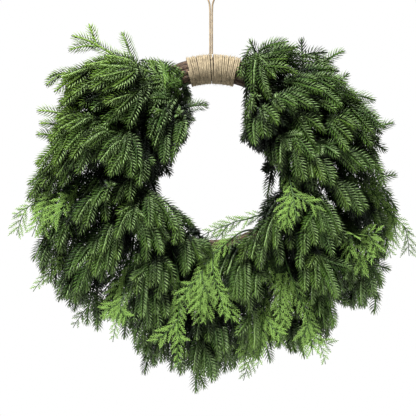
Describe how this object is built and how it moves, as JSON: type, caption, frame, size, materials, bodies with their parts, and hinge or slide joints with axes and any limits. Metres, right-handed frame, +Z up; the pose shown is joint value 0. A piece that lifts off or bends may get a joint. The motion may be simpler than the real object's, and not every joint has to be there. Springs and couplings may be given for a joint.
{
  "type": "evergreen wreath",
  "caption": "Full, fresh evergreen wreath with long trailing pine and cedar sprays, wired to a hoop, with a jute-wrapped top and a twine hanging loop.",
  "frame": {"origin": "the inside top of the hanging loop, where the twine bears on a hook; the wreath hangs below it", "axes": "+X to the right seen from the front, +Y from the front to the wall behind, +Z up"},
  "size_m": [0.6809, 0.1357, 0.6742],
  "materials": {
    "hoop_steel": "dark green lacquer",
    "bark": "rough bark",
    "binding_steel": "green lacquer",
    "jute_twine": "natural fibre",
    "pine_needles": "satin living foliage",
    "cedar_leaves": "satin living foliage"
  },
  "bodies": {
    "root": {"wire_hoop": "hoop_steel", "stem_bundle": "bark", "binding_wire": "binding_steel", "jute_sleeve": "jute_twine", "hanging_loop": "jute_twine", "pine_spray_01": "pine_needles", "pine_spray_02": "pine_needles", "pine_spray_03": "pine_needles", "pine_spray_04": "pine_needles", "pine_spray_05": "pine_needles", "pine_spray_06": "pine_needles", "pine_spray_07": "pine_needles", "pine_spray_08": "pine_needles", "pine_spray_09": "pine_needles", "pine_spray_10": "pine_needles", "pine_spray_11": "pine_needles", "pine_spray_12": "pine_needles", "pine_spray_13": "pine_needles", "pine_spray_14": "pine_needles", "pine_spray_15": "pine_needles", "pine_spray_16": "pine_needles", "pine_spray_17": "pine_needles", "pine_spray_18": "pine_needles", "pine_spray_19": "pine_needles", "pine_spray_20": "pine_needles", "pine_spray_21": "pine_needles", "pine_spray_22": "pine_needles", "pine_spray_23": "pine_needles", "pine_spray_24": "pine_needles", "pine_spray_25": "pine_needles", "pine_spray_26": "pine_needles", "pine_spray_27": "pine_needles", "pine_spray_28": "pine_needles", "pine_spray_29": "pine_needles", "pine_spray_30": "pine_needles", "pine_spray_31": "pine_needles", "pine_spray_32": "pine_needles", "pine_spray_33": "pine_needles", "pine_spray_34": "pine_needles", "pine_spray_35": "pine_needles", "pine_spray_36": "pine_needles", "pine_spray_37": "pine_needles", "pine_spray_38": "pine_needles", "pine_spray_39": "pine_needles", "pine_spray_40": "pine_needles", "pine_spray_41": "pine_needles", "pine_spray_42": "pine_needles", "cedar_spray_01": "cedar_leaves", "cedar_spray_02": "cedar_leaves", "cedar_spray_03": "cedar_leaves", "cedar_spray_04": "cedar_leaves", "cedar_spray_05": "cedar_leaves", "cedar_spray_06": "cedar_leaves", "cedar_spray_07": "cedar_leaves", "cedar_spray_08": "cedar_leaves", "cedar_spray_09": "cedar_leaves", "cedar_spray_10": "cedar_leaves", "cedar_spray_11": "cedar_leaves", "cedar_spray_12": "cedar_leaves"}
  },
  "joints": []
}
